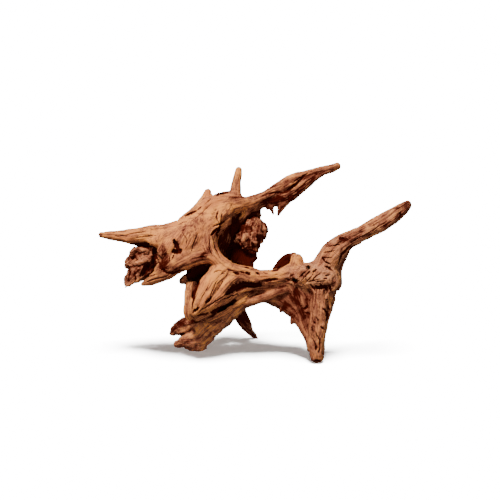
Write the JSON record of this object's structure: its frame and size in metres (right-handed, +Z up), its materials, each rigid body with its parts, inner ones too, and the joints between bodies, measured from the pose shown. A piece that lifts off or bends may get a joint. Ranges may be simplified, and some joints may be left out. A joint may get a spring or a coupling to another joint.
{
  "type": "driftwood",
  "caption": "Branching piece of weathered driftwood root that stands on three points, with a deep hollow, furrowed grain, pointed arms and a broken stub.",
  "frame": {"origin": "on the ground, under the middle of the bounding box", "axes": "+X along the wood's length, from the pointed left arm to the long right arm, as seen from the front; +Y away from that viewer; +Z up"},
  "size_m": [0.236, 0.081, 0.1369],
  "materials": {
    "driftwood": "weathered, matte"
  },
  "bodies": {
    "root": {"trunk": "driftwood", "left_arm": "driftwood", "broken_stub": "driftwood", "back_horn": "driftwood", "upper_arm": "driftwood", "left_leg": "driftwood", "rear_leg": "driftwood", "bridge": "driftwood", "right_leg": "driftwood", "right_arm": "driftwood"}
  },
  "joints": []
}
